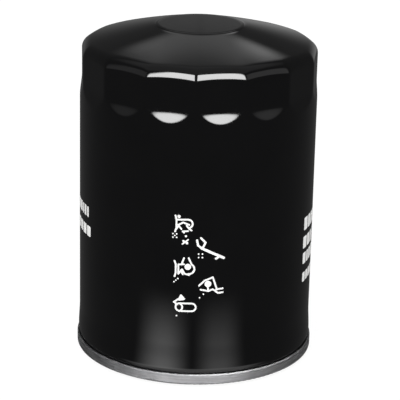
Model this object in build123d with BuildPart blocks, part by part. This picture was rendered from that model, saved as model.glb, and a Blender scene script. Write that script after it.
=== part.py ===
from build123d import *
import os
from math import cos, pi, radians, sin

# Spin-on oil filter, modelled piece by piece, in millimetres.
#
# Frame: +Z runs up the filter's axis to its closed end, and the origin is on the axis at
# the gasket's sealing face. The printed front faces -Y, and one ridge of the wrench
# flats stands 1.4 degrees off it, towards -X.

# ---------------------------------------------------------------- driving dimensions
# Can
can_radius = 47.03
sheet = 0.3
top_z = 134.3
crown_radius = 17.5
crown_step = 0.2
dome_edge_z = 126.62
dome_sag = 0.3
shoulder_radius = 5.1

# Wrench flats
flat_count = 15
flat_apothem = 46.08
flat_bottom_z = 111.0
run_out_z = 106.3
flat_shoulder_radius = 2.0
front_angle = -91.4

# Rolled seam
seam_bottom_z = 1.2
seam_height = 4.4
seam_radius = 47.97
flare = 0.39
flare_z = 7.6
flare_start_z = 16.0

# Base plate, whose bore is the minor diameter of a 3/4-16 UNF thread
plate_thickness = 3.0
plate_radius = 45.0
plate_chamfer = 0.4
thread_minor_radius = 8.73
thread_entry = 1.0
neck_radius = 12.4
neck_top_z = 17.6
step_radius = 15.8
step_height = 2.55
inlet_count = 8
inlet_radius = 4.0
inlet_circle_radius = 23.0

# Seaming lid
lid_bend = 0.6
lip_top_z = 3.2
pad_floor_z = 2.3
pad_width = 2.9
pad_slope_width = 1.2
weld_circle_radius = 43.2
weld_radius = 1.7
weld_depth = 0.12

# Gasket
gasket_inner_radius = 30.9
gasket_outer_radius = 36.1
gasket_height = 5.98
gasket_round = 0.7
gasket_chamfer = 0.3

# Anti-drain valve and element seal
hub_radius = 20.0
hub_height = 2.9
lip_radius = 30.2
lip_contact_width = 1.8
lip_thickness = 0.8
seal_outer_radius = 15.36
seal_chamfer = 0.8

# Cartridge
cap_sheet = 0.5
cap_bend = 0.6
cap_radius = 40.6
cap_rim = 4.8
cap_neck_height = 1.0
lower_cap_z = 14.0
potting_thickness = 2.0
potting_gap = 0.4
media_height = 93.5
media_outer_radius = 39.4
media_inner_radius = 20.0
pleat_count = 48
paper = 0.55
paper_end_gap = 0.015
end_start = 33.5
end_tip = 38.2
clip_sheet = 0.3
clip_tail = 1.2
tube_outer_radius = 17.0
tube_sheet = 0.6
perforation_radius = 2.0
perforation_rows = 9
perforations_across = 4

# Bypass valve
bypass_hole_radius = 9.5
cage_radius = 15.0
cage_depth = 15.0
cage_sheet = 0.6
cage_bends = [0.45, 1.2]
window_count = 4
window_width = 8.0
window_height = 7.0
window_corner = 1.5
seat_thickness = 1.2
disc_radius = 12.6
disc_thickness = 1.0
pilot_radius = 5.0
pilot_height = 1.6
pilot_chamfer = 0.8
stem_radius = 2.4
stem_past_cage = 2.0
stem_chamfer = 0.6
guide_gap = 0.08
bypass_coil_radius = 7.0
bypass_wire = 0.9
bypass_turns = 4.5
bypass_ground = 0.25

# Element spring and its seat
spring_wire = 2.2
spring_radius = 12.6
spring_turns = 3.6
spring_ground = 0.7
seat_sheet = 0.6
seat_bend = 0.5
seat_inner_lip = 2.2
seat_outer_lip = 1.3

# Clearance between pieces that rest on each other
fit_gap = 0.02

# ---------------------------------------------------------------- derived dimensions
half = sheet / 2
seam_pitch = (seam_radius - can_radius) / 3
seam_top_z = seam_bottom_z + seam_height
wall_line = can_radius - half
panel_angle = 360 / flat_count
can_inner_top_z = top_z - sheet

channel_floor_z = gasket_height + fit_gap
plate_z = channel_floor_z + sheet + fit_gap
plate_top_z = plate_z + plate_thickness
step_z = plate_top_z + step_height

lower_floor_z = lower_cap_z + cap_sheet
media_z = lower_floor_z + potting_thickness
media_top_z = media_z + media_height
upper_cap_z = media_top_z + potting_thickness
upper_face_z = upper_cap_z + cap_sheet
tube_inner_radius = tube_outer_radius - tube_sheet


# ---------------------------------------------------------------- shared shapes
def strip(points, bend, thickness):
    """Section of a bent sheet, drawn on the XZ plane along its centre line."""
    with BuildSketch(Plane.XZ) as section:
        with BuildLine():
            FilletPolyline(*points, radius=bend)
            offset(amount=thickness / 2, side=Side.BOTH)
        make_face()
    return section.sketch


def profile(points):
    """Closed straight-sided section on the XZ plane."""
    with BuildSketch(Plane.XZ) as section:
        with BuildLine():
            Polyline(*points, close=True)
        make_face()
    return section.sketch


def coil(wire, radius, low_z, high_z, turns, ground):
    """Coil spring with its end turns ground flat."""
    height = high_z - low_z + 2 * ground
    with BuildPart() as spring:
        with BuildLine() as path:
            Helix(pitch=height / turns, height=height, radius=radius, center=(0, 0, low_z - ground))
        with BuildSketch(Plane(origin=path.line @ 0, x_dir=(1, 0, 0), z_dir=path.line % 0)):
            Circle(wire / 2)
        sweep(path=path.line, is_frenet=True)
        with BuildSketch(Plane.XY.offset(low_z)):
            Circle(radius + wire)
        extrude(amount=high_z - low_z, mode=Mode.INTERSECT)
    return spring.part


# ---------------------------------------------------------------- can
def can_form(inset):
    """The can's closed form above the seam, drawn in by inset: a plain drum with a domed end."""
    wall = can_radius - inset
    crown_z = top_z - inset
    lip_z = crown_z - crown_step
    edge_z = dome_edge_z - inset
    dome_middle = ((crown_radius + wall) / 2, (lip_z + edge_z) / 2 + dome_sag)
    with BuildPart() as form:
        with BuildSketch(Plane.XZ) as section:
            with BuildLine():
                Polyline((0, flare_start_z), (0, crown_z), (crown_radius, crown_z), (crown_radius, lip_z))
                ThreePointArc((crown_radius, lip_z), dome_middle, (wall, edge_z))
                Polyline((wall, edge_z), (wall, flare_start_z), (0, flare_start_z))
            make_face()
            outer_corners = section.vertices().sort_by(Axis.X)[-2:]
            fillet(outer_corners.sort_by(Axis.Y)[-1], radius=shoulder_radius - inset)
        revolve(axis=Axis.Z)
    return form.part


def flat_tool(inset):
    """Cutter for one wrench flat at +X: a plane face whose foot runs out into the wall."""
    flat = flat_apothem - inset
    wall = can_radius - inset
    beyond = wall + 5
    run_out = profile([
        (flat, top_z),
        (flat, flat_bottom_z),
        (wall, run_out_z),
        (beyond, run_out_z),
        (beyond, top_z),
    ])
    with BuildPart() as tool:
        extrude(run_out, amount=wall * sin(radians(panel_angle)), both=True)
    return tool.part


def can_skin(inset):
    """The closed form with its wrench flats cut and their top edges rounded."""
    form = can_form(inset)
    flat = flat_tool(inset)
    with BuildPart() as skin:
        add(form)
        with PolarLocations(0, flat_count, start_angle=front_angle + panel_angle / 2):
            add(flat, mode=Mode.SUBTRACT)
        flat_tops = skin.edges().filter_by(GeomType.BSPLINE)
        fillet(flat_tops, radius=flat_shoulder_radius - inset)
    return skin.part


body_turn_z = seam_bottom_z + half + seam_pitch
body_hook_radius = wall_line + 2 * seam_pitch
can_foot = strip(
    [
        (wall_line, flare_start_z + 1),
        (wall_line, flare_start_z),
        (wall_line + flare, flare_z + 2),
        (wall_line + flare, flare_z),
        (wall_line, seam_top_z + 0.3),
        (wall_line, body_turn_z),
        (body_hook_radius, body_turn_z),
        (body_hook_radius, seam_top_z - 1.0),
    ],
    [3, 3, 0.8, 0.8, sheet, sheet],
    sheet,
)
outer_skin = can_skin(0)
inner_skin = can_skin(sheet)

with BuildPart() as filter_can:
    add(outer_skin)
    add(inner_skin, mode=Mode.SUBTRACT)
    revolve(can_foot, axis=Axis.Z)

# ---------------------------------------------------------------- rolled seam and lid
lid_line_z = channel_floor_z + half
lid_turn_z = seam_bottom_z + half
lid_top_turn_z = seam_top_z - half
cover_hook_z = seam_bottom_z + 1.9
lip_line = gasket_inner_radius - fit_gap - half
channel_line = gasket_outer_radius + fit_gap + half
pad_line = channel_line + pad_width

lid_section = strip(
    [
        (lip_line, lip_top_z),
        (lip_line, lid_line_z),
        (channel_line, lid_line_z),
        (channel_line, pad_floor_z),
        (pad_line, pad_floor_z),
        (pad_line + pad_slope_width, lid_line_z),
        (wall_line - seam_pitch, lid_line_z),
        (wall_line - seam_pitch, lid_turn_z),
        (wall_line + 3 * seam_pitch, lid_turn_z),
        (wall_line + 3 * seam_pitch, lid_top_turn_z),
        (wall_line + seam_pitch, lid_top_turn_z),
        (wall_line + seam_pitch, cover_hook_z),
    ],
    [lid_bend] * 8 + [sheet] * 2,
    sheet,
)

with BuildPart() as seaming_lid:
    revolve(lid_section, axis=Axis.Z)
    with BuildSketch(Plane.XY.offset(channel_floor_z)):
        with PolarLocations(weld_circle_radius, inlet_count):
            Circle(weld_radius)
    extrude(amount=weld_depth, mode=Mode.SUBTRACT)

# The compound is a thin bead that fills the seam under the end of the cover hook
compound_top_z = cover_hook_z - half - 0.03
compound_height = 0.4
with BuildPart() as seam_sealing_compound:
    with BuildSketch(Plane.XY.offset(compound_top_z - compound_height)):
        Circle(can_radius + seam_pitch)
        Circle(can_radius + fit_gap, mode=Mode.SUBTRACT)
    extrude(amount=compound_height)

# ---------------------------------------------------------------- base plate
plate_section = profile([
    (thread_minor_radius, plate_z + thread_entry),
    (thread_minor_radius + thread_entry, plate_z),
    (plate_radius - plate_chamfer, plate_z),
    (plate_radius, plate_z + plate_chamfer),
    (plate_radius, plate_top_z - plate_chamfer),
    (plate_radius - plate_chamfer, plate_top_z),
    (step_radius + plate_chamfer, plate_top_z),
    (step_radius, plate_top_z + plate_chamfer),
    (step_radius, step_z),
    (neck_radius, step_z),
    (neck_radius, neck_top_z - plate_chamfer),
    (neck_radius - plate_chamfer, neck_top_z),
    (thread_minor_radius + thread_entry, neck_top_z),
    (thread_minor_radius, neck_top_z - thread_entry),
])

with BuildPart() as base_plate:
    revolve(plate_section, axis=Axis.Z)
    with BuildSketch(Plane.XY.offset(plate_z)):
        with PolarLocations(inlet_circle_radius, inlet_count):
            Circle(inlet_radius)
    extrude(amount=plate_thickness, mode=Mode.SUBTRACT)

# ---------------------------------------------------------------- rubber parts
with BuildPart() as base_gasket:
    with BuildSketch(Plane.XZ) as gasket_section:
        with Locations(((gasket_inner_radius + gasket_outer_radius) / 2, gasket_height / 2)):
            Rectangle(gasket_outer_radius - gasket_inner_radius, gasket_height)
        fillet(gasket_section.vertices().group_by(Axis.Z)[0], radius=gasket_round)
        chamfer(gasket_section.vertices().group_by(Axis.Z)[-1], length=gasket_chamfer)
    revolve(axis=Axis.Z)

valve_seat_z = plate_top_z + fit_gap
hub_top_z = lower_cap_z - fit_gap
bore_radius = neck_radius + fit_gap
with BuildPart() as anti_drain_valve:
    revolve(
        profile([
            (bore_radius, step_z + fit_gap),
            (step_radius + 0.1, step_z + fit_gap),
            (step_radius + 1.4, step_z - 0.3),
            (lip_radius - lip_contact_width, valve_seat_z),
            (lip_radius, valve_seat_z),
            (lip_radius + 0.2, valve_seat_z + lip_thickness),
            (hub_radius + 1.0, valve_seat_z + hub_height),
            (hub_radius, hub_top_z),
            (bore_radius, hub_top_z),
        ]),
        axis=Axis.Z,
    )

with BuildPart() as element_seal:
    revolve(
        profile([
            (bore_radius, hub_top_z + fit_gap),
            (seal_outer_radius, hub_top_z + fit_gap),
            (seal_outer_radius, neck_top_z - seal_chamfer),
            (seal_outer_radius - seal_chamfer, neck_top_z),
            (bore_radius + seal_chamfer, neck_top_z),
            (bore_radius, neck_top_z - seal_chamfer),
        ]),
        axis=Axis.Z,
    )

# ---------------------------------------------------------------- cartridge
cap_line = cap_radius - cap_sheet / 2
cap_neck_line = seal_outer_radius + 2 * fit_gap + cap_sheet / 2

with BuildPart() as lower_end_cap:
    revolve(
        strip(
            [
                (cap_neck_line, neck_top_z + cap_neck_height),
                (cap_neck_line, lower_cap_z + cap_sheet / 2),
                (cap_line, lower_cap_z + cap_sheet / 2),
                (cap_line, lower_cap_z + cap_rim),
            ],
            cap_bend,
            cap_sheet,
        ),
        axis=Axis.Z,
    )

with BuildPart() as upper_end_cap:
    revolve(
        strip(
            [
                (bypass_hole_radius + cap_sheet / 2, upper_cap_z + cap_sheet / 2),
                (cap_line, upper_cap_z + cap_sheet / 2),
                (cap_line, upper_face_z - cap_rim),
            ],
            cap_bend,
            cap_sheet,
        ),
        axis=Axis.Z,
    )


def potting(low_z):
    """Ring of bonding compound between an end cap and the paper."""
    with BuildPart() as ring:
        with BuildSketch(Plane.XY.offset(low_z)):
            Circle(cap_radius - cap_sheet - potting_gap)
            Circle(tube_outer_radius + fit_gap, mode=Mode.SUBTRACT)
        extrude(amount=potting_thickness)
    return ring.part


with BuildPart() as lower_potting:
    add(potting(lower_floor_z))

with BuildPart() as upper_potting:
    add(potting(media_top_z))

row_spacing = media_height / perforation_rows
hole_angle = 180 / perforations_across

with BuildPart() as center_tube:
    with BuildSketch(Plane.XY.offset(lower_floor_z)):
        Circle(tube_outer_radius)
        Circle(tube_inner_radius, mode=Mode.SUBTRACT)
    extrude(amount=upper_cap_z - lower_floor_z - fit_gap)
    for row in range(perforation_rows):
        row_z = media_z + (row + 0.5) * row_spacing
        stagger = (row % 2) * hole_angle / 2
        for hole in range(perforations_across):
            turn = radians(stagger + hole * hole_angle)
            with BuildSketch(Plane(origin=(0, 0, row_z), z_dir=(cos(turn), sin(turn), 0))):
                Circle(perforation_radius)
            extrude(amount=tube_outer_radius + 1, both=True, mode=Mode.SUBTRACT)

# Pleated paper: an open strip, folded to and fro, whose ends meet under the clip at +Y
half_pleat = pi / pleat_count
fold_outer = media_outer_radius - paper / 2
fold_inner = media_inner_radius + paper / 2
end_offset = paper / 2 + paper_end_gap


def fold(index):
    """Centre-line point of one fold, counted round from the clip."""
    radius = fold_inner if index % 2 else fold_outer
    return (radius * sin(index * half_pleat), radius * cos(index * half_pleat))


with BuildPart() as pleated_media:
    with BuildSketch(Plane.XY.offset(media_z)):
        with BuildLine():
            Polyline(
                (end_offset, end_tip),
                (end_offset, end_start),
                *[fold(index) for index in range(1, 2 * pleat_count)],
                (-end_offset, end_start),
                (-end_offset, end_tip),
            )
            offset(amount=paper / 2, side=Side.BOTH)
        make_face()
    extrude(amount=media_height)

clip_line = end_offset + paper / 2 + fit_gap + clip_sheet / 2
clip_back = end_tip + paper / 2 + 5 * fit_gap + clip_sheet / 2
with BuildPart() as media_seam_clip:
    with BuildSketch(Plane.XY.offset(media_z)):
        with BuildLine():
            FilletPolyline(
                (-clip_line, end_start + clip_tail),
                (-clip_line, clip_back),
                (clip_line, clip_back),
                (clip_line, end_start + clip_tail),
                radius=clip_sheet,
            )
            offset(amount=clip_sheet / 2, side=Side.BOTH)
        make_face()
    extrude(amount=media_height)

# ---------------------------------------------------------------- bypass valve
cage_line = cage_radius - cage_sheet / 2
flange_z = upper_cap_z - fit_gap - cage_sheet / 2
cage_floor_z = flange_z - cage_depth
guide_radius = stem_radius + guide_gap

with BuildPart() as bypass_valve_cage:
    revolve(
        strip(
            [
                (tube_inner_radius - cage_sheet, flange_z),
                (cage_line, flange_z),
                (cage_line, cage_floor_z),
                (guide_radius + cage_sheet / 2, cage_floor_z),
            ],
            cage_bends,
            cage_sheet,
        ),
        axis=Axis.Z,
    )
    for window in range(window_count):
        turn = radians((window + 0.5) * 360 / window_count)
        window_plane = Plane(
            origin=(0, 0, cage_floor_z + cage_depth / 2),
            x_dir=(0, 0, 1),
            z_dir=(cos(turn), sin(turn), 0),
        )
        with BuildSketch(window_plane):
            RectangleRounded(window_height, window_width, window_corner)
        extrude(amount=cage_radius + 1, mode=Mode.SUBTRACT)

seat_z = upper_cap_z - fit_gap - seat_thickness
with BuildPart() as bypass_seat_gasket:
    with BuildSketch(Plane.XY.offset(seat_z)):
        Circle(cage_radius - cage_sheet - 0.1)
        Circle(bypass_hole_radius - 0.2, mode=Mode.SUBTRACT)
    extrude(amount=seat_thickness)

disc_top_z = seat_z - fit_gap
disc_z = disc_top_z - disc_thickness
shoulder_width = bypass_coil_radius - bypass_wire / 2 - 0.15
stem_end_z = cage_floor_z - stem_past_cage
with BuildPart() as bypass_valve_disc:
    revolve(
        profile([
            (0, disc_top_z + pilot_height),
            (pilot_radius - pilot_chamfer, disc_top_z + pilot_height),
            (pilot_radius, disc_top_z + pilot_height - pilot_chamfer),
            (pilot_radius, disc_top_z),
            (disc_radius, disc_top_z),
            (disc_radius, disc_z),
            (shoulder_width, disc_z),
            (shoulder_width, disc_z - 1.4),
            (stem_radius + 0.8, disc_z - 1.8),
            (stem_radius, disc_z - 2.6),
            (stem_radius, stem_end_z),
            (stem_radius - stem_chamfer, stem_end_z - stem_chamfer),
            (0, stem_end_z - stem_chamfer),
        ]),
        axis=Axis.Z,
    )

bypass_low_z = cage_floor_z + cage_sheet / 2 + fit_gap
bypass_high_z = disc_z - fit_gap
with BuildPart() as bypass_valve_spring:
    add(coil(bypass_wire, bypass_coil_radius, bypass_low_z, bypass_high_z, bypass_turns, bypass_ground))

# ---------------------------------------------------------------- element spring
seat_line_z = upper_face_z + fit_gap + seat_sheet / 2
inner_lip_line = spring_radius - spring_wire / 2 - 0.8 - seat_sheet / 2
outer_lip_line = spring_radius + spring_wire / 2 + 0.6 + seat_sheet / 2
with BuildPart() as spring_seat:
    revolve(
        strip(
            [
                (inner_lip_line, seat_line_z + seat_inner_lip),
                (inner_lip_line, seat_line_z),
                (outer_lip_line, seat_line_z),
                (outer_lip_line, seat_line_z + seat_outer_lip),
            ],
            seat_bend,
            seat_sheet,
        ),
        axis=Axis.Z,
    )

spring_low_z = seat_line_z + seat_sheet / 2 + fit_gap
spring_high_z = can_inner_top_z - fit_gap
with BuildPart() as element_spring:
    add(coil(spring_wire, spring_radius, spring_low_z, spring_high_z, spring_turns, spring_ground))

# ---------------------------------------------------------------- hand-in files
pieces = {
    "filter_can": filter_can,
    "seaming_lid": seaming_lid,
    "seam_sealing_compound": seam_sealing_compound,
    "base_plate": base_plate,
    "base_gasket": base_gasket,
    "anti_drain_valve": anti_drain_valve,
    "element_seal": element_seal,
    "lower_end_cap": lower_end_cap,
    "lower_potting": lower_potting,
    "pleated_media": pleated_media,
    "media_seam_clip": media_seam_clip,
    "center_tube": center_tube,
    "upper_potting": upper_potting,
    "upper_end_cap": upper_end_cap,
    "bypass_seat_gasket": bypass_seat_gasket,
    "bypass_valve_disc": bypass_valve_disc,
    "bypass_valve_spring": bypass_valve_spring,
    "bypass_valve_cage": bypass_valve_cage,
    "spring_seat": spring_seat,
    "element_spring": element_spring,
}
os.makedirs("parts", exist_ok=True)
for name, piece in pieces.items():
    piece.part.label = name
    export_step(piece.part, f"parts/{name}.step")
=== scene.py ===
from math import cos, hypot, pi, radians, sin, tan

import bmesh
import bpy
import numpy as np
from mathutils import Matrix, Vector


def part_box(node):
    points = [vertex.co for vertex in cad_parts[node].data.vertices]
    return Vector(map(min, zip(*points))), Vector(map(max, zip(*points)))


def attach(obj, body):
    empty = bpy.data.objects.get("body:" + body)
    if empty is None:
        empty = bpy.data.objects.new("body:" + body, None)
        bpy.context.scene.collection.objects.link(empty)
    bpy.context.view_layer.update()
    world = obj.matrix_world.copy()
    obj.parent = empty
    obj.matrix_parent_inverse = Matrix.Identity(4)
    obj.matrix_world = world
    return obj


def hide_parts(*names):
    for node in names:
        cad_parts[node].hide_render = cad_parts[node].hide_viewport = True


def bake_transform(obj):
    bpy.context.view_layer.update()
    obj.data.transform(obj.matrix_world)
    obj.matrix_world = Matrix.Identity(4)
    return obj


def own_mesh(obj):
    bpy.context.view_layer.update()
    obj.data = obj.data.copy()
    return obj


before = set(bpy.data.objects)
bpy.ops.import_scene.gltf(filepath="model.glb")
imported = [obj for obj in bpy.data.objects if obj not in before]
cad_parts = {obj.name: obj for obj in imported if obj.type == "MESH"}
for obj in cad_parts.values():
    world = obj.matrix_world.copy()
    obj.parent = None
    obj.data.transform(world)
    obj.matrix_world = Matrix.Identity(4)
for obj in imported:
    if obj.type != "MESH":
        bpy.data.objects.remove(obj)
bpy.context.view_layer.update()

# Spin-on oil filter: gloss black can with wrench flats, printed marks and a rolled steel seam.
# Lengths are written in millimetres and multiplied by mm where an object is made. Heights, whose
# names end in _z, are measured from the face that seals on the engine.
mm = 0.001
scene = bpy.context.scene


def low(node):
    """Lowest corner of a CAD node, in millimetres."""
    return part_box(node)[0] / mm


def high(node):
    """Highest corner of a CAD node, in millimetres."""
    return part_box(node)[1] / mm


# ======== mesh tools
def add_object(name, data):
    """A new object in the scene that shows the mesh, light or camera data."""
    made = bpy.data.objects.new(name, data)
    scene.collection.objects.link(made)
    return made


def mesh_object(name, points, faces, material):
    """A smooth-shaded mesh from points in millimetres."""
    mesh = bpy.data.meshes.new(name)
    mesh.from_pydata((np.asarray(points, float) * mm).tolist(), [], faces)
    mesh.update()
    mesh.shade_smooth()
    mesh.materials.append(material)
    return add_object(name, mesh)


def ring_quads(rings, around, wrap=False):
    """Quads between closed rings of points; wrap also joins the last ring to the first."""
    ring = np.arange(rings if wrap else rings - 1)[:, None]
    spot = np.arange(around)[None, :]
    beside = (spot + 1) % around
    here = ring * around
    after = (ring + 1) % rings * around
    corners = (here + spot, after + spot, after + beside, here + beside)
    return np.stack(corners, -1).reshape(-1, 4).tolist()


def around_axis(radius, height, angle):
    """Points from cylindrical coordinates, with angle 0 at the front (-Y) and growing towards +X."""
    return np.stack([radius * np.sin(angle), -radius * np.cos(angle), height + 0 * angle], -1)


def round_corners(points, radii, steps=5, closed=True):
    """Outline with each corner replaced by an arc, all of one radius or each of its own."""
    nearly_straight = radians(89.5)
    longest_reach = 0.49
    points = [np.array(point, float) for point in points]
    count = len(points)
    outline = []
    for index, corner in enumerate(points):
        radius = radii[index] if isinstance(radii, (list, tuple)) else radii
        at_end = not closed and index in (0, count - 1)
        if at_end or radius <= 0:
            outline.append(corner)
            continue
        back = points[index - 1] - corner
        ahead = points[(index + 1) % count] - corner
        back_length = np.linalg.norm(back)
        ahead_length = np.linalg.norm(ahead)
        back = back / back_length
        ahead = ahead / ahead_length
        half_angle = np.arccos(np.clip(back @ ahead, -1, 1)) / 2
        if half_angle > nearly_straight:
            outline.append(corner)
            continue
        reach = min(radius / tan(half_angle), longest_reach * back_length, longest_reach * ahead_length)
        radius = reach * tan(half_angle)
        middle = back + ahead
        centre = corner + middle / np.linalg.norm(middle) * radius / sin(half_angle)
        start = corner + back * reach - centre
        turn = pi - 2 * half_angle
        side = np.sign(back[1] * ahead[0] - back[0] * ahead[1])
        for step in range(steps + 1):
            angle = side * turn * step / steps
            across = start[0] * cos(angle) - start[1] * sin(angle)
            upward = start[0] * sin(angle) + start[1] * cos(angle)
            outline.append(centre + (across, upward))
    return np.array(outline)


def lathe(name, outline, around, material):
    """Solid of revolution from a closed outline of (radius, height) points."""
    angle = np.linspace(0, 2 * pi, around, endpoint=False)
    rings = [around_axis(radius, height, angle) for radius, height in outline]
    points = np.concatenate(rings)
    return mesh_object(name, points, ring_quads(len(outline), around, wrap=True), material)


def face_outwards(piece, sharp_from=None):
    """Makes a closed mesh look outwards, with sharp edges from an angle in degrees if one is given."""
    mesh = piece.data
    bm = bmesh.new()
    bm.from_mesh(mesh)
    bmesh.ops.recalc_face_normals(bm, faces=bm.faces)
    bm.to_mesh(mesh)
    bm.free()
    if sharp_from is not None:
        mesh.set_sharp_from_angle(angle=radians(sharp_from))


def fit_in(piece, body, node):
    """Rides the piece on a body, if one is given, and hides the CAD node that it stands for."""
    if body is not None:
        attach(piece, body)
    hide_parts(node)


# ======== shader tools
class Shader:
    """A node material with short calls for the nodes that the finishes below share."""

    def __init__(self, name):
        self.material = bpy.data.materials.new(name)
        self.material.use_nodes = True
        self.tree = self.material.node_tree
        self.surface = self.tree.nodes["Principled BSDF"]

    def node(self, kind, inputs=(), **settings):
        made = self.tree.nodes.new("ShaderNode" + kind)
        for key, value in settings.items():
            setattr(made, key, value)
        for key, value in dict(inputs).items():
            self.feed(made.inputs[key], value)
        return made

    def feed(self, socket, value):
        if isinstance(value, bpy.types.NodeSocket):
            self.tree.links.new(value, socket)
        else:
            socket.default_value = value

    def set(self, **inputs):
        for key, value in inputs.items():
            self.feed(self.surface.inputs[key.replace("_", " ")], value)

    def math(self, operation, first, second=0.0):
        made = self.node("Math", {0: first, 1: second}, operation=operation)
        return made.outputs[0]

    def place(self):
        return self.node("TexCoord").outputs["Object"]

    def stretched(self, across, along):
        """Coordinates for grain that runs round the axis, and the distance from the axis."""
        nearly_zero = 1e-6
        x, y, z = self.node("SeparateXYZ", {0: self.place()}).outputs
        radius = self.math("ADD", self.from_axis(x, y), nearly_zero)
        joined = self.node("CombineXYZ", {
            0: self.math("MULTIPLY", self.math("DIVIDE", x, radius), across),
            1: self.math("MULTIPLY", self.math("DIVIDE", y, radius), across),
            2: self.math("MULTIPLY", z, along),
        })
        return joined.outputs[0], radius

    def scaled(self, x, y, z):
        return self.node("Mapping", {"Vector": self.place(), "Scale": (x, y, z)}).outputs[0]

    def noise(self, scale, detail, roughness=0.5, vector=None):
        vector = vector or self.place()
        inputs = {"Vector": vector, "Scale": scale, "Detail": detail, "Roughness": roughness}
        return self.node("TexNoise", inputs).outputs[0]

    def cells(self, scale, vector=None):
        vector = vector or self.place()
        return self.node("TexVoronoi", {"Vector": vector, "Scale": scale}).outputs["Distance"]

    def span(self, value, low_in, high_in, low_out, high_out, ramp="LINEAR"):
        inputs = {"Value": value, 1: low_in, 2: high_in, 3: low_out, 4: high_out}
        return self.node("MapRange", inputs, interpolation_type=ramp).outputs[0]

    def between(self, value, start, end, start_soft, end_soft):
        """1 where value lies between start and end, with soft edges."""
        up = self.span(value, start - start_soft, start + start_soft, 0, 1, "SMOOTHSTEP")
        down = self.span(value, end - end_soft, end + end_soft, 1, 0, "SMOOTHSTEP")
        return self.math("MULTIPLY", up, down)

    def from_axis(self, x, y):
        """Distance of a point from the axis."""
        squares = self.math("ADD", self.math("MULTIPLY", x, x), self.math("MULTIPLY", y, y))
        return self.math("SQRT", squares)

    def blend(self, factor, first, second):
        made = self.node("Mix", data_type="RGBA")
        self.feed(made.inputs[0], factor)
        self.feed(made.inputs[6], (*first, 1) if isinstance(first, tuple) else first)
        self.feed(made.inputs[7], (*second, 1) if isinstance(second, tuple) else second)
        return made.outputs[2]

    def bump(self, height, distance, strength=1.0, under=None):
        inputs = {"Height": height, "Distance": distance, "Strength": strength}
        made = self.node("Bump", inputs)
        if under is not None:
            self.feed(made.inputs["Normal"], under)
        return made.outputs[0]


# ======== finishes
def gloss_black_paint():
    """Deep black stoving paint with a faint orange peel and slight haze."""
    paint = Shader("gloss_black_paint")
    peel = paint.noise(420, 2)
    haze = paint.noise(60, 4)
    dust = paint.cells(900)
    paint.set(
        Base_Color=paint.blend(haze, (0.0020, 0.0020, 0.0022), (0.0030, 0.0030, 0.0032)),
        Roughness=paint.span(haze, 0.35, 0.7, 0.055, 0.085),
        IOR=1.5,
        Normal=paint.bump(peel, 0.004 * mm, 1.0, paint.bump(dust, 0.002 * mm, 0.5)),
    )
    return paint.material


def white_ink():
    """Screen-printed white, slightly uneven, with a soft satin face."""
    ink = Shader("white_ink")
    cloud = ink.noise(700, 3)
    weave = ink.noise(5200, 2)
    ink.set(
        Base_Color=ink.blend(cloud, (0.80, 0.80, 0.79), (0.88, 0.88, 0.87)),
        Roughness=ink.span(cloud, 0.3, 0.7, 0.36, 0.48),
        Normal=ink.bump(weave, 0.01 * mm),
    )
    return ink.material


def rolled_steel(name, light, dark, rough, streaks, wear=0.2):
    """Bright sheet steel with fine marks that run round the axis, left by the seaming rolls."""
    steel = Shader(name)
    ring_place, radius = steel.stretched(2.2, streaks)
    lines = steel.noise(1.0, 5, 0.7, ring_place)
    radial_place = steel.node("CombineXYZ", {0: steel.math("MULTIPLY", radius, streaks)}).outputs[0]
    circles = steel.noise(1.0, 5, 0.7, radial_place)
    blotch = steel.noise(110, 4)
    grain = steel.math("MULTIPLY", steel.math("ADD", lines, circles), 0.5)
    fine = steel.math("MULTIPLY", grain, 1 - wear)
    coarse = steel.math("MULTIPLY", blotch, wear)
    shade = steel.math("ADD", fine, coarse)
    steel.set(
        Base_Color=steel.blend(steel.span(shade, 0.35, 0.65, 0, 1), dark, light),
        Metallic=1.0,
        Roughness=steel.span(grain, 0.35, 0.65, rough - 0.07, rough + 0.09),
        Normal=steel.bump(grain, 0.02 * mm),
    )
    return steel.material


def drawn_steel(name, light, dark, rough):
    """Wire or thin strip with soft mottling from oil and heat."""
    steel = Shader(name)
    mottle = steel.noise(260, 5, 0.6)
    fine = steel.noise(2400, 3)
    steel.set(
        Base_Color=steel.blend(steel.span(mottle, 0.35, 0.65, 0, 1), dark, light),
        Metallic=1.0,
        Roughness=steel.span(mottle, 0.3, 0.7, rough + 0.1, rough - 0.05),
        Normal=steel.bump(fine, 0.01 * mm),
    )
    return steel.material


def black_rubber():
    """Moulded nitrile with a matt skin, a light oil bloom and fine mould grain."""
    rubber = Shader("black_rubber")
    bloom = rubber.noise(140, 4, 0.6)
    grain = rubber.noise(3200, 3)
    pores = rubber.cells(1500)
    rubber.set(
        Base_Color=rubber.blend(bloom, (0.010, 0.010, 0.011), (0.024, 0.024, 0.025)),
        Roughness=rubber.span(bloom, 0.3, 0.7, 0.42, 0.62),
        Normal=rubber.bump(grain, 0.02 * mm, 1.0, rubber.bump(pores, 0.01 * mm, 0.6)),
    )
    return rubber.material


def orange_silicone():
    """Translucent moulded silicone with a soft sheen."""
    silicone = Shader("orange_silicone")
    cloud = silicone.noise(180, 3)
    skin = silicone.noise(2600, 3)
    silicone.set(
        Base_Color=silicone.blend(cloud, (0.66, 0.13, 0.02), (0.78, 0.20, 0.04)),
        Roughness=silicone.span(cloud, 0.3, 0.7, 0.34, 0.46),
        Subsurface_Weight=0.25,
        Subsurface_Radius=(1.2 * mm, 0.4 * mm, 0.15 * mm),
        Subsurface_Scale=1.0,
        Normal=silicone.bump(skin, 0.015 * mm),
    )
    return silicone.material


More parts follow.
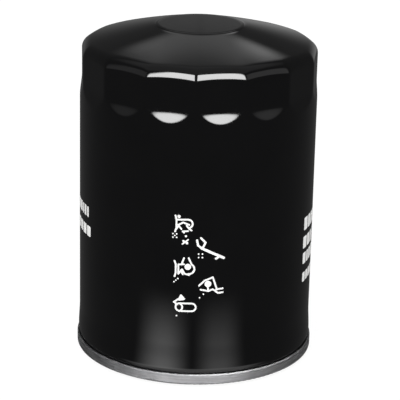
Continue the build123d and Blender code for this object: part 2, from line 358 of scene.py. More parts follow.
def cast_compound(name, light, dark, rough):
    """Cured compound that was poured or laid as a bead, with pits and soft swirls."""
    compound = Shader(name)
    swirl = compound.noise(160, 5, 0.6)
    pits = compound.cells(620)
    compound.set(
        Base_Color=compound.blend(swirl, dark, light),
        Roughness=compound.span(swirl, 0.3, 0.7, rough, rough + 0.15),
        Normal=compound.bump(pits, 0.08 * mm, 0.7, compound.bump(swirl, 0.2 * mm, 0.5)),
    )
    return compound.material


def filter_paper():
    """Resin-treated cellulose paper: warm straw colour, flecked with fibres."""
    paper = Shader("filter_paper")
    fibres = paper.noise(1.0, 6, 0.75, paper.scaled(900, 900, 260))
    cloud = paper.noise(90, 3)
    flecks = paper.cells(1700, paper.scaled(1, 1, 0.4))
    tone = paper.math("ADD", paper.math("MULTIPLY", fibres, 0.6), paper.math("MULTIPLY", cloud, 0.4))
    shade = paper.span(tone, 0.38, 0.62, 0, 1)
    paper.set(
        Base_Color=paper.blend(shade, (0.56, 0.40, 0.20), (0.76, 0.60, 0.36)),
        Roughness=0.88,
        Sheen_Weight=0.15,
        Normal=paper.bump(fibres, 0.09 * mm, 0.8, paper.bump(flecks, 0.04 * mm, 0.6)),
    )
    return paper.material


finish = {
    "gloss_black_paint": gloss_black_paint(),
    "white_ink": white_ink(),
    "tinned_steel": rolled_steel("tinned_steel", (0.33, 0.33, 0.335), (0.13, 0.13, 0.135), 0.58, 1500),
    "plate_steel": rolled_steel("plate_steel", (0.40, 0.40, 0.41), (0.24, 0.24, 0.25), 0.38, 1600, 0.7),
    "cap_steel": rolled_steel("cap_steel", (0.60, 0.60, 0.58), (0.46, 0.46, 0.45), 0.34, 900, 0.8),
    "tube_steel": rolled_steel("tube_steel", (0.52, 0.52, 0.52), (0.38, 0.38, 0.38), 0.36, 700, 0.6),
    "spring_steel": drawn_steel("spring_steel", (0.34, 0.32, 0.30), (0.18, 0.17, 0.16), 0.28),
    "black_rubber": black_rubber(),
    "orange_silicone": orange_silicone(),
    "sealant": cast_compound("sealant", (0.34, 0.37, 0.31), (0.24, 0.27, 0.22), 0.42),
    "potting": cast_compound("potting", (0.33, 0.10, 0.045), (0.24, 0.065, 0.03), 0.38),
    "filter_paper": filter_paper(),
}


def dress_cad_nodes():
    """Gives every carried-over CAD node the finish named by its own material slots."""
    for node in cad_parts.values():
        for spot in node.material_slots:
            slot_name = spot.material.name.split(".")[0]
            spot.material = finish[slot_name]


# ======== can
wall_radius = 47.03
sheet = 0.3
top_z = high("filter_can").z

# Flat disc in the middle of the crown, with a small step down at its edge
crown_radius = 17.5
crown_step = 0.2
crown_step_width = 0.35
crown_ring_radii = (0.9, 4.0, 8.0, 12.0, 15.0, 16.0)
crown_edge_steps = 6

# Dome, and the shoulder that turns it into the wrench flats
dome_edge_z = 126.66
dome_sag = 0.306
ridge_shoulder = 5.4
panel_shoulder = 4.88
dome_steps = 20
shoulder_steps = 18

# Ring of wrench flats, with ridges between them
panels = 15
ridge_turn = radians(-1.39)
panel_turn = 2 * pi / panels
flat_apothem = 46.09
ridge_blend = 0.16
slices_per_panel = 24
around_can = panels * slices_per_panel
flat_steps = 6

# Run-out of the flats into the round wall
flat_bottom_z = 111.3
run_out_slope = 0.183
run_out_blend = 0.5
run_out_spread = 0.15
wall_blend = 0.05
ridge_depth = 0.04
flat_end_rise = 1.2
run_out_rise = 1.0
run_out_end_z = 104.2
run_out_step = 0.25

# Plain wall, flared foot and rolled seam
plain_top_z = 103.5
plain_steps = 12
flare = 0.39
flare_top_z = 18.0
flare_z = 8.4
flare_low_z = 7.4
flare_end_z = 5.8
flare_gap = 0.5
foot_steps = 22
seam_top_z = 5.6
seam_layers = 3
hook_end_drop = 0.8
bend_steps = 6


def can_angles():
    """Angles round the can, closer together at the ridges than at the middles of the panels."""
    share = np.arange(slices_per_panel) / slices_per_panel
    eased = (share + (1 - np.cos(pi * share)) / 2) / 2
    panel = np.arange(panels)[:, None]
    return ((panel + eased[None, :]) * panel_turn).ravel() + ridge_turn


def soft_min(first, second, softness):
    """The smaller of two values, with a rounded changeover."""
    return -softness * np.logaddexp(-first / softness, -second / softness)


def soft_step(value):
    """Smooth rise from 0 to 1 as value goes from 0 to 1."""
    value = np.clip(value, 0, 1)
    return value * value * (3 - 2 * value)


def circle_through(first, second, third):
    """Centre and radius of the circle through three points."""
    (ax, ay), (bx, by), (cx, cy) = first, second, third
    turn = 2 * (ax * (by - cy) + bx * (cy - ay) + cx * (ay - by))
    a2, b2, c2 = ax * ax + ay * ay, bx * bx + by * by, cx * cx + cy * cy
    x = (a2 * (by - cy) + b2 * (cy - ay) + c2 * (ay - by)) / turn
    y = (a2 * (cx - bx) + b2 * (ax - cx) + c2 * (bx - ax)) / turn
    return x, y, hypot(ax - x, ay - y)


# Each ring of the can below is (radius, height, outward part and upward part of its normal).
def crown_rings(ones):
    """The crown disc and the small step at its edge."""
    rings = [(radius * ones, top_z * ones, 0 * ones, ones) for radius in crown_ring_radii]
    for step in range(1, crown_edge_steps):
        share = step / crown_edge_steps
        radius = crown_radius + crown_step_width * (share - 0.5)
        height = top_z - crown_step * soft_step(share)
        rings.append((radius * ones, height * ones, 0 * ones, ones))
    return rings


def dome_rings(angle):
    """Crown, dome, shoulder and wrench flats, and the flats' radius at each angle."""
    ones = np.ones_like(angle)
    rings = crown_rings(ones)
    lip_z = top_z - crown_step
    rounding_guard = 1e-9
    off_middle = ((angle - ridge_turn + rounding_guard) % panel_turn) - panel_turn / 2
    near_flat = flat_apothem / np.cos(off_middle)
    next_flat = flat_apothem / np.cos(panel_turn - np.abs(off_middle))
    flat = soft_min(near_flat, next_flat, ridge_blend)

    middle = ((crown_radius + wall_radius) / 2, (lip_z + dome_edge_z) / 2 + dome_sag)
    centre_r, centre_z, dome = circle_through((crown_radius, lip_z), middle, (wall_radius, dome_edge_z))
    shoulder = panel_shoulder + (ridge_shoulder - panel_shoulder) * (2 * off_middle / panel_turn) ** 2
    arc_r = flat - shoulder
    arc_z = centre_z + np.sqrt((dome - shoulder) ** 2 - (arc_r - centre_r) ** 2)
    start = np.arctan2(arc_z - centre_z, arc_r - centre_r)
    tangent_r = centre_r + dome * np.cos(start)

    first_r = crown_radius + crown_step_width
    for share in np.linspace(0, 1, dome_steps):
        radius = first_r + (tangent_r - first_r) * share
        across = (radius - centre_r) / dome
        lift = np.sqrt(1 - across * across)
        rings.append((radius, centre_z + dome * lift, across, lift))
    for share in np.linspace(0, 1, shoulder_steps)[1:]:
        turn = start * (1 - share)
        across, lift = np.cos(turn), np.sin(turn)
        rings.append((arc_r + shoulder * across, arc_z + shoulder * lift, across, lift))
    for share in np.linspace(0, 1, flat_steps)[1:]:
        rings.append((flat, arc_z + (flat_bottom_z + flat_end_rise - arc_z) * share, ones, 0 * ones))
    return rings, flat


def wall_radius_at(height, flat):
    """Outer radius of the wall at one height: run-out of the flats, plain wall and flared foot."""
    depth_share = np.maximum(wall_radius - flat, ridge_depth) / (wall_radius - flat_apothem)
    slope = run_out_slope * depth_share ** run_out_spread
    ramp = slope * run_out_blend * np.logaddexp(0, (flat_bottom_z - height) / run_out_blend)
    swell = soft_step((flare_top_z - height) / (flare_top_z - flare_z))
    fall = soft_step((flare_low_z - height) / (flare_low_z - flare_end_z))
    wall = wall_radius + flare * (swell - fall)
    return soft_min(wall + 0 * flat, flat + ramp, wall_blend)


def wall_rings(flat):
    """Wall from the foot of the flats down to the seam."""
    run_out = np.arange(flat_bottom_z + run_out_rise, run_out_end_z, -run_out_step)
    plain = np.linspace(plain_top_z, flare_top_z + flare_gap, plain_steps)
    foot = np.linspace(flare_top_z, flare_end_z, foot_steps)
    ones = np.ones_like(flat)
    heights = np.concatenate([run_out, plain, foot])
    return [(wall_radius_at(height, flat), height * ones, ones, 0 * ones) for height in heights]


def hook_rings(ones):
    """Body hook of the rolled seam: the wall turns out and then up inside the lid's hook."""
    pitch = (high("seaming_lid").x - wall_radius) / seam_layers
    bend = sheet / 2
    turn_z = low("seaming_lid").z + sheet / 2 + pitch + sheet
    inner_turn = wall_radius + bend
    hook_turn = wall_radius - sheet / 2 + 2 * pitch - sheet
    hook_end_z = seam_top_z - hook_end_drop
    rings = []
    for centre, first_turn in ((inner_turn, pi), (hook_turn, -pi / 2)):
        for share in np.linspace(0, 1, bend_steps):
            turn = first_turn + share * pi / 2
            rings.append((centre + bend * cos(turn), turn_z + bend * sin(turn), -cos(turn), -sin(turn)))
    rings.append((hook_turn + bend, hook_end_z, -1.0, 0.0))
    return [tuple(value * ones for value in ring) for ring in rings]


def make_can():
    """The can as one closed sheet, with an outer and an inner skin."""
    angle = can_angles()
    ones = np.ones_like(angle)
    upper, flat = dome_rings(angle)
    rings = upper + wall_rings(flat) + hook_rings(ones)
    skin = [around_axis(r, z, angle) for r, z, across, lift in rings]
    inner_rings = rings[::-1][::2]
    if inner_rings[-1] is not rings[0]:
        inner_rings.append(rings[0])
    for r, z, across, lift in inner_rings:
        skin.append(around_axis(r - sheet * across, z - sheet * lift, angle))
    faces = ring_quads(len(skin), around_can)
    poles = [(0, 0, top_z), (0, 0, top_z - sheet)]
    pole = len(skin) * around_can
    inside = (len(skin) - 1) * around_can
    for spot in range(around_can):
        faces.append([pole, spot, (spot + 1) % around_can])
    for spot in range(around_can):
        faces.append([pole + 1, inside + (spot + 1) % around_can, inside + spot])
    can = mesh_object("can_body", np.concatenate(skin + [poles]), faces, finish["gloss_black_paint"])
    face_outwards(can)
    fit_in(can, "shell", "filter_can")


# ======== printed marks
# The marks are laid out flat, as (distance to the right of the front, height), and wrapped round
layout_radius = 46.6
picture_rise = 0.36
stroke = 0.34
no_ink = -9.0
arc_points = 15
film = 0.035
film_lift = 0.006
pip_inset = 0.4
pip_pitch = 0.72
pip_radius = 0.31
picture_grid = 0.07
note_grid = 0.16


class Stencil:
    """A field over the unrolled wall, in millimetres, that is positive where ink lies."""

    def __init__(self, left, right, bottom, top, step, rise=0.0):
        self.rise = rise
        self.x = np.arange(left, right + step, step)
        self.y = np.arange(bottom, top + step, step)
        self.grid_x, self.grid_y = np.meshgrid(self.x, self.y, indexing="ij")
        self.field = np.full(self.grid_x.shape, no_ink)

    def join(self, field):
        self.field = np.maximum(self.field, field)

    def line(self, *points, width=stroke):
        """Round-ended stroke through the points."""
        for (ax, ay), (bx, by) in zip(points[:-1], points[1:]):
            px, py = self.grid_x - ax, self.grid_y - ay
            dx, dy = bx - ax, by - ay
            share = np.clip((px * dx + py * dy) / (dx * dx + dy * dy), 0, 1)
            self.join(width - np.hypot(px - share * dx, py - share * dy))

    def arc(self, centre, radius, start, end, width=stroke):
        """Round-ended stroke along an arc, with its angles in degrees."""
        turns = np.radians(np.linspace(start, end, arc_points))
        points = [(centre[0] + radius * cos(turn), centre[1] + radius * sin(turn)) for turn in turns]
        self.line(*points, width=width)

    def dot(self, centre, radius):
        self.join(radius - np.hypot(self.grid_x - centre[0], self.grid_y - centre[1]))

    def block(self, left, right, bottom, top, corner=0.5):
        """Filled rectangle with round corners."""
        dx = np.abs(self.grid_x - (left + right) / 2) - (right - left) / 2 + corner
        dy = np.abs(self.grid_y - (bottom + top) / 2) - (top - bottom) / 2 + corner
        outside = np.hypot(np.maximum(dx, 0), np.maximum(dy, 0))
        self.join(corner - outside - np.minimum(np.maximum(dx, dy), 0))

    def pips(self, left, bottom, count):
        """A small group of dots, as on a die, that numbers a picture."""
        layout = {
            1: [(1, 1)],
            2: [(0, 0), (2, 2)],
            3: [(0, 0), (1, 1), (2, 2)],
            4: [(0, 0), (2, 0), (0, 2), (2, 2)],
            5: [(0, 0), (2, 0), (1, 1), (0, 2), (2, 2)],
        }
        for column, row in layout[count]:
            x = left + pip_inset + column * pip_pitch
            y = bottom + pip_inset + row * pip_pitch
            self.dot((x, y), pip_radius)


def ink_polygons(stencil):
    """Flat points and polygons that cover the stencil where it is positive, one per grid square."""
    field = stencil.field
    nearest = 0.02
    corner_id, edge_id, points, polygons = {}, {}, [], []

    def corner(i, j):
        if (i, j) not in corner_id:
            corner_id[i, j] = len(points)
            points.append((stencil.x[i], stencil.y[j]))
        return corner_id[i, j]

    def crossing(i, j, k, m):
        key = (min(i, k), min(j, m), max(i, k), max(j, m))
        if key not in edge_id:
            share = field[i, j] / (field[i, j] - field[k, m])
            share = min(max(share, nearest), 1 - nearest)
            x = stencil.x[i] + (stencil.x[k] - stencil.x[i]) * share
            y = stencil.y[j] + (stencil.y[m] - stencil.y[j]) * share
            edge_id[key] = len(points)
            points.append((x, y))
        return edge_id[key]

    inside = field > 0
    count = inside[:-1, :-1].astype(int) + inside[1:, :-1] + inside[1:, 1:] + inside[:-1, 1:]
    for i, j in np.argwhere(count > 0):
        loop = [(i, j), (i + 1, j), (i + 1, j + 1), (i, j + 1)]
        marks = [bool(inside[spot]) for spot in loop]
        diagonal = marks in ([True, False, True, False], [False, True, False, True])
        polygon = []
        for spot in range(4):
            here, before, after = loop[spot], loop[spot - 1], loop[(spot + 1) % 4]
            if diagonal and marks[spot]:
                polygons.append([crossing(*here, *before), corner(*here), crossing(*here, *after)])
            elif marks[spot]:
                polygon.append(corner(*here))
            if not diagonal and marks[spot] != marks[(spot + 1) % 4]:
                polygon.append(crossing(*here, *after) if marks[spot] else crossing(*after, *here))
        if polygon:
            polygons.append(polygon)
    return np.array(points), polygons


def film_mesh(stencil):
    """Closed film where the stencil is positive, wrapped on the wall: points and faces."""
    flat_points, polygons = ink_polygons(stencil)
    total = len(flat_points)
    angle = flat_points[:, 0] / layout_radius
    height = flat_points[:, 1] + stencil.rise
    top = around_axis(wall_radius + film_lift + film, height, angle)
    bottom = around_axis(wall_radius + film_lift, height, angle)
    edges = {}
    for polygon in polygons:
        for first, second in zip(polygon, polygon[1:] + polygon[:1]):
            edges[first, second] = True
    rims = [edge for edge in edges if (edge[1], edge[0]) not in edges]
    faces = list(polygons)
    faces += [[spot + total for spot in polygon[::-1]] for polygon in polygons]
    faces += [[second, first, first + total, second + total] for first, second in rims]
    return np.concatenate([top, bottom]), faces


def hang_picture(ink):
    """A filter on its side against a bracket, with a turning mark below it."""
    ink.line((-7.7, 70.2), (-7.3, 68.3), (-7.3, 65.2), (-7.8, 63.8))
    ink.dot((-6.4, 69.9), 0.62)
    ink.line((-7.0, 68.6), (-3.0, 68.8))
    ink.arc((-2.9, 67.1), 1.7, 90, -75)
    ink.line((-6.6, 66.5), (-4.7, 67.6), (-2.5, 66.7))
    ink.line((-7.3, 64.9), (-6.4, 66.2), (-5.4, 64.9))
    ink.line((-3.4, 66.3), (-2.5, 65.2), (-1.6, 64.5))
    ink.line((-4.9, 64.0), (-2.9, 64.2))
    ink.line((-4.9, 64.0), (-4.4, 63.5))
    ink.pips(-9.0, 61.0, 5)
    ink.dot((-3.6, 62.1), 0.42)
    ink.line((-4.9, 58.9), (-2.8, 60.7), width=0.3)
    ink.dot((-4.5, 60.1), 0.45)
    ink.dot((-3.2, 59.3), 0.5)


def spanner_picture(ink):
    """An open-ended spanner."""
    ink.line((2.4, 57.4), (10.9, 53.3), width=0.5)
    ink.line((0.6, 60.6), (1.0, 58.6), (2.4, 57.4), width=0.4)
    ink.line((2.1, 61.5), (3.8, 59.7), (3.0, 57.9), width=0.4)
    ink.line((9.2, 53.9), (7.9, 53.1), width=0.42)
    ink.pips(0.9, 53.2, 4)


def grip_picture(ink):
    """Two arms that close round a filter beside its bracket."""
    ink.line((-7.8, 51.9), (-7.3, 50.5), (-7.3, 47.1), (-7.7, 45.6))
    ink.line((-6.3, 46.7), (-6.3, 50.5), (-4.2, 50.7))
    ink.line((-4.2, 53.2), (-5.0, 50.8))
    ink.line((-2.4, 53.3), (-1.4, 51.0))
    ink.arc((-2.3, 48.9), 2.1, 62, -95)
    ink.dot((-2.7, 49.7), 1.25)
    ink.line((-6.2, 46.8), (-4.9, 48.6), (-3.9, 46.9), (-2.2, 46.4))
    ink.line((-5.4, 48.2), (-4.6, 46.6))
    ink.pips(-8.3, 42.9, 3)


def strap_picture(ink):
    """A strap wrench round a filter seen from its end."""
    ink.line((1.7, 42.1), (3.8, 44.2), (6.9, 45.5), (8.4, 41.0))
    ink.dot((5.1, 42.8), 1.3)
    ink.line((5.0, 41.6), (5.3, 40.2))
    ink.line((2.3, 40.5), (5.3, 39.9), (7.0, 40.6), (9.0, 39.0), (10.9, 39.2))
    ink.line((8.3, 40.4), (9.3, 40.6), (10.8, 40.8))
    ink.pips(1.6, 36.8, 2)


def drip_picture(ink):
    """A filter outline on its side under a funnel."""
    ink.line((-5.4, 34.6), (-1.0, 34.7))
    ink.line((-5.4, 31.4), (-1.0, 31.5))
    ink.arc((-1.0, 33.1), 1.6, 90, -90)
    ink.arc((-5.5, 33.0), 1.6, 80, 280)
    ink.arc((-6.3, 33.0), 1.75, 62, -62)
    ink.line((-7.8, 35.0), (-6.7, 34.2))
    ink.line((-7.8, 35.0), (-5.2, 37.0))
    ink.line((-5.1, 37.7), (-4.0, 36.5), (-5.8, 36.2), (-5.1, 37.4), width=0.5)
    ink.pips(-7.8, 28.3, 1)


def note_rows(ink, rows, outward):
    """Rows of plain blocks that stand for lines of print. Each row is (start, bottom, top, widths)."""
    gap = 0.9
    space = 3.0
    for start, bottom, top, words in rows:
        edge = start
        for word in words:
            for width in word:
                near, far = edge, edge + outward * width
                ink.block(min(near, far), max(near, far), bottom, top)
                edge = far + outward * gap
            edge += outward * (space - gap)


left_rows = [
    (-52.0, 60.1, 64.4, [[1.6, 2.2, 1.5, 3.4, 3.2], [3.2, 3.4, 1.4, 3.0]]),
    (-50.2, 52.3, 56.6, [[3.4, 3.6, 3.5, 3.4], [3.6, 3.2, 3.4, 3.6, 3.4]]),
]
right_rows = [
    (53.4, 56.0, 61.3, [[3.7, 3.0, 3.0, 1.5, 1.8, 2.8], [3.0, 2.8, 3.1]]),
    (53.0, 48.4, 53.4, [[3.7, 3.2, 3.2], [3.6, 3.4, 3.0, 3.4]]),
    (53.2, 41.8, 46.5, [[3.2, 2.2, 3.0, 3.0], [3.2, 3.0, 2.9]]),
    (53.4, 34.1, 38.1, [[2.7, 2.6, 2.7, 2.6, 2.7], [2.6, 2.7]]),
]


def make_print():
    """All the white marks on the can, as one thin film."""
    pictures = Stencil(-9.8, 12.0, 27.6, 71.2, picture_grid, picture_rise)
    for draw in (hang_picture, spanner_picture, grip_picture, strap_picture, drip_picture):
        draw(pictures)
    left = Stencil(-92, -49.5, 51, 66, note_grid)
    note_rows(left, left_rows, -1)
    right = Stencil(52, 95, 33, 63.5, note_grid)
    note_rows(right, right_rows, 1)
    points, faces = [], []
    for stencil in (pictures, left, right):
        offset = sum(len(part) for part in points)
        part, polygons = film_mesh(stencil)
        points.append(part)
        faces += [[spot + offset for spot in polygon] for polygon in polygons]
    marks = mesh_object("printed_marks", np.concatenate(points), faces, finish["white_ink"])
    face_outwards(marks, sharp_from=40)
    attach(marks, "shell")


# ======== base plate with its thread
plate_radius = 45.0
plate_thickness = 3.0
plate_edge = 0.4
around_plate = 144
neck_radius = 12.4
neck_step_radius = 15.8
neck_step_height = 2.55
thread_minor = 8.73
thread_major = 9.525
thread_pitch = 25.4 / 16
thread_entry = 1.0
# Each flank takes thread_slope of the pitch and is cut off at thread_depth_share of its depth
thread_slope = 0.4375
thread_depth_share = 0.857
rings_per_pitch = 14
inlet_count = 8
inlet_radius = 4.0
inlet_circle = 23.0
inlet_edge = 0.35
around_inlet = 40


def thread_rings(bottom, top, angle):
    """Rings of the threaded bore, from the bottom up: a helical groove with cone-shaped entries."""
    rows = int((top - bottom) / thread_pitch * rings_per_pitch)
    rings = []
    for height in np.linspace(bottom, top, rows + 1):
        phase = (height / thread_pitch + angle / (2 * pi)) % 1
        wedge = 1 - np.abs(phase - 0.5) / thread_slope
        groove = np.clip(wedge, 0, thread_depth_share) / thread_depth_share
        radius = thread_minor + (thread_major - thread_minor) * groove
        entry = max(bottom + thread_entry - height, height - top + thread_entry, 0)
        rings.append((np.maximum(radius, thread_minor + entry), height))
    return rings


def make_base_plate():
    """Thick plate with a neck, a threaded bore and a circle of inlet holes."""
    bottom = low("base_plate").z
    neck_top = high("base_plate").z
    plate_top = bottom + plate_thickness
    step_z = plate_top + neck_step_height
    angle = np.linspace(0, 2 * pi, around_plate, endpoint=False)
    outside = round_corners(
        [
            (thread_minor + thread_entry, bottom),
            (plate_radius, bottom),
            (plate_radius, plate_top),
            (neck_step_radius, plate_top),
            (neck_step_radius, step_z),
            (neck_radius, step_z),
            (neck_radius, neck_top),
            (thread_minor + thread_entry, neck_top),
        ],
        [0, plate_edge, plate_edge, 0.5, 0.3, 0.15, plate_edge, 0],
        steps=4,
        closed=False,
    )
    rings = [around_axis(radius, height, angle) for radius, height in outside]
    for radius, height in thread_rings(bottom, neck_top, angle)[::-1][1:-1]:
        rings.append(around_axis(radius, height, angle))
    faces = ring_quads(len(rings), around_plate, wrap=True)
    plate = mesh_object("threaded_base_plate", np.concatenate(rings), faces, finish["plate_steel"])
    face_outwards(plate)
    cut_inlets(plate, bottom, plate_top)
    plate.data.set_sharp_from_angle(angle=radians(35))
    fit_in(plate, "shell", "base_plate")


def cut_inlets(plate, bottom, top):
    """Drills the inlet holes, with slightly broken edges."""
    on_axis = 0.01
    past = 1
    outline = [
        (on_axis, bottom - past),
        (inlet_radius + inlet_edge + past, bottom - past),
        (inlet_radius, bottom + inlet_edge),
        (inlet_radius, top - inlet_edge),
        (inlet_radius + inlet_edge + past, top + past),
        (on_axis, top + past),
    ]
    drill = lathe("inlet_drill", outline, around_inlet, finish["plate_steel"])
    face_outwards(drill)
    for index in range(inlet_count):
        turn = 2 * pi * index / inlet_count
        drill.location = (inlet_circle * cos(turn) * mm, inlet_circle * sin(turn) * mm, 0)
        cut = plate.modifiers.new("inlet", "BOOLEAN")
        cut.operation = "DIFFERENCE"
        cut.solver = "EXACT"
        cut.object = drill
        apply_modifiers(plate)
    bpy.data.objects.remove(drill)


def apply_modifiers(piece):
    """Makes the piece's modifiers part of its mesh."""
    bpy.context.view_layer.update()
    shape = piece.evaluated_get(bpy.context.evaluated_depsgraph_get())
    mesh = bpy.data.meshes.new_from_object(shape)
    piece.modifiers.clear()
    piece.data = mesh


# ======== springs
around_wire = 16
points_per_turn = 48
# How far the wire's middle is from a ground end, and the pitch of closed turns, in wires
ground_share = 0.3
closed_pitch = 1.03
smoothing = 13


def coil_heights(turn, turns, dead_turns, wire, bottom, top):
    """Height of the wire's middle: flat closed ends, an even rise between, and soft changeovers."""
    low_end = bottom + wire * ground_share
    high_end = top - wire * ground_share
    dead_rise = wire * closed_pitch * dead_turns
    full_rise = high_end - low_end
    stations = [0, dead_turns, turns - dead_turns, turns]
    rise = np.interp(turn, stations, [0, dead_rise, full_rise - dead_rise, full_rise])
    half = smoothing // 2
    before = 2 * rise[0] - rise[half:0:-1]
    after = 2 * rise[-1] - rise[-2:-half - 2:-1]
    padded = np.concatenate([before, rise, after])
    return low_end + np.convolve(padded, np.ones(smoothing) / smoothing, mode="valid")


def make_coil(name, wire, radius, bottom, top, turns, dead_turns):
    """Compression spring with closed end turns, ground flat."""
    steps = int(turns * points_per_turn)
    turn = np.linspace(0, 1, steps + 1) * turns
    height = coil_heights(turn, turns, dead_turns, wire, bottom, top)
    angle = 2 * pi * turn
    wire_turn = np.linspace(0, 2 * pi, around_wire, endpoint=False)
    across = radius + wire / 2 * np.cos(wire_turn)[None, :]
    lift = height[:, None] + wire / 2 * np.sin(wire_turn)[None, :]
    lift = np.clip(lift, bottom, top)
    points = np.stack([across * np.cos(angle)[:, None], across * np.sin(angle)[:, None], lift], -1)
    faces = ring_quads(steps + 1, around_wire)
    faces.append(list(range(around_wire)))
    last = steps * around_wire
    faces.append([last + spot for spot in range(around_wire)][::-1])
    coil = mesh_object(name, points.reshape(-1, 3), faces, finish["spring_steel"])
    face_outwards(coil, sharp_from=50)
    return coil


def place_spring(name, node, wire, turns, dead_turns, body):
    """A coil that fills a CAD spring's box, with a mesh of its own."""
    lower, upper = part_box(node)
    coil = make_coil(name, wire, upper.x / mm - wire / 2, lower.z / mm, upper.z / mm, turns, dead_turns)
    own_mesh(coil)
    fit_in(coil, body, node)


def make_springs():
    """The spring that holds the cartridge down, and the bypass valve's spring."""
    place_spring(
        "element_coil_spring", "element_spring", wire=2.2, turns=4.6, dead_turns=0.9,
        body="shell",
    )
    place_spring(
        "bypass_coil_spring", "bypass_valve_spring", wire=0.9, turns=6.5, dead_turns=1.0,
        body="cartridge",
    )


# ======== rubber flap
hub_radius = 20.0
hub_foot_radius = 21.0
hub_foot_rise = 2.9
hub_clearance = 0.02
hub_groove = (16.8, 17.2, 18.2, 18.6)
hub_groove_depth = 0.35
skirt_start = 1.4
skirt_drop = 0.3
step_clearance = 0.1
lip_lean = 0.2
lip_thickness = 0.8
lip_flat = 1.8
around_flap = 192
longest_flap_step = 1.2


def make_flap():
    """Anti-drain valve: a soft hub and a thin skirt that lies on the base plate."""
    bore = neck_radius + hub_clearance
    bottom = low("anti_drain_valve").z
    hub_top = high("anti_drain_valve").z
    groove_z = hub_top - hub_groove_depth
    lip = high("anti_drain_valve").x - lip_lean
    step = bottom + neck_step_height
    outline = round_corners(
        [
            (bore, step),
            (neck_step_radius + step_clearance, step),
            (neck_step_radius + skirt_start, step - skirt_drop),
            (lip - lip_flat, bottom),
            (lip, bottom),
            (lip + lip_lean, bottom + lip_thickness),
            (hub_foot_radius, bottom + hub_foot_rise),
            (hub_radius, hub_top),
            (hub_groove[3], hub_top),
            (hub_groove[2], groove_z),
            (hub_groove[1], groove_z),
            (hub_groove[0], hub_top),
            (bore, hub_top),
        ],
        [0.2, 0.6, 2.0, 1.2, 0.25, 0.3, 1.6, 0.6, 0.15, 0.15, 0.15, 0.15, 0.3],
        steps=5,
    )
    outline = subdivided(outline, longest_flap_step)
    flap = lathe("anti_drain_flap_rubber", outline, around_flap, finish["orange_silicone"])
    face_outwards(flap, sharp_from=50)
    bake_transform(flap)
    fit_in(flap, None, "anti_drain_valve")


def subdivided(outline, longest):
    """The outline with extra points, so that no step is longer than asked."""
    points = []
    for first, second in zip(outline, np.roll(outline, -1, axis=0)):
        steps = max(1, int(np.ceil(np.linalg.norm(second - first) / longest)))
        points += [first + (second - first) * step / steps for step in range(steps)]
    return np.array(points)


# ======== pleated paper
pleats = 48
paper = 0.55
paper_outer = 39.4 - paper / 2
paper_inner = 20.0 + paper / 2
fold_radius = 0.32
end_gap = paper / 2 + 0.015
end_radii = (38.2, 33.5)
paper_rings = 17
# The walls of the pleats waver by an angle in radians, but not at the folds or in the clip
waver = 0.006
waves_up = 5
waves_round = 9
waver_in = 3
clip_turn = 0.1
clip_fade = 0.15


def pleat_outline():
    """Middle line of the folded paper, whose two ends stand side by side in the clip."""
    half_pleat = pi / pleats
    folds = [(end_gap, radius) for radius in end_radii]
    for index in range(1, 2 * pleats):
        radius = paper_inner if index % 2 else paper_outer
        folds.append((radius * sin(index * half_pleat), radius * cos(index * half_pleat)))
    folds += [(-end_gap, radius) for radius in end_radii[::-1]]
    return round_corners(folds, fold_radius, steps=4, closed=False)


def make_paper():
    """Pleated paper with rounded folds that waver a little over their height."""
    bottom = low("pleated_media").z
    top = high("pleated_media").z
    middle = pleat_outline()
    along = np.gradient(middle, axis=0)
    along /= np.linalg.norm(along, axis=1)[:, None]
    side = np.stack([-along[:, 1], along[:, 0]], -1) * paper / 2
    section = np.concatenate([middle + side, (middle - side)[::-1]])
    reach = np.hypot(section[:, 0], section[:, 1])
    turn = np.arctan2(section[:, 0], section[:, 1])
    free = soft_step((reach - paper_inner) / waver_in) * soft_step((paper_outer - reach) / waver_in)
    free = free * soft_step((np.abs(turn) - clip_turn) / clip_fade)
    rings = []
    for share in np.linspace(0, 1, paper_rings):
        waves = np.sin(pi * share) * np.sin(waves_up * pi * share + waves_round * turn)
        shifted = turn + waver * waves * free
        height = np.full_like(reach, bottom + (top - bottom) * share)
        rings.append(np.stack([reach * np.sin(shifted), reach * np.cos(shifted), height], -1))
    around = len(section)
    faces = ring_quads(len(rings), around)
    for ring in (0, len(rings) - 1):
        for spot in range(len(middle) - 1):
            far = around - 1 - spot
            faces.append([ring * around + index for index in (spot, spot + 1, far - 1, far)])
    media = mesh_object("pleated_paper", np.concatenate(rings), faces, finish["filter_paper"])
    face_outwards(media, sharp_from=60)
    fit_in(media, "cartridge", "pleated_media")


# ======== studio
white = (1, 1, 1, 1)


class Sky(Shader):
    """World shader whose reflections come from soft patches of light."""

    def __init__(self, world):
        world.use_nodes = True
        self.tree = world.node_tree
        self.tree.nodes.clear()
        x, y, z = self.node("SeparateXYZ", {0: self.node("TexCoord").outputs["Generated"]}).outputs
        front = self.math("MULTIPLY", y, -1.0)
        self.turns = {
            "front": self.math("DEGREES", self.math("ARCTAN2", x, front)),
            "back": self.math("DEGREES", self.math("ARCTAN2", x, y)),
        }
        self.rise = self.math("DEGREES", self.math("ARCSINE", z))

    def patch(self, side, turn, rise, level, turn_soft, rise_soft):
        """One patch of light, from a row of the table below."""
        across = self.between(self.turns[side], *turn, *turn_soft)
        upward = self.between(self.rise, *rise, *rise_soft)
        return self.math("MULTIPLY", self.math("MULTIPLY", across, upward), level)


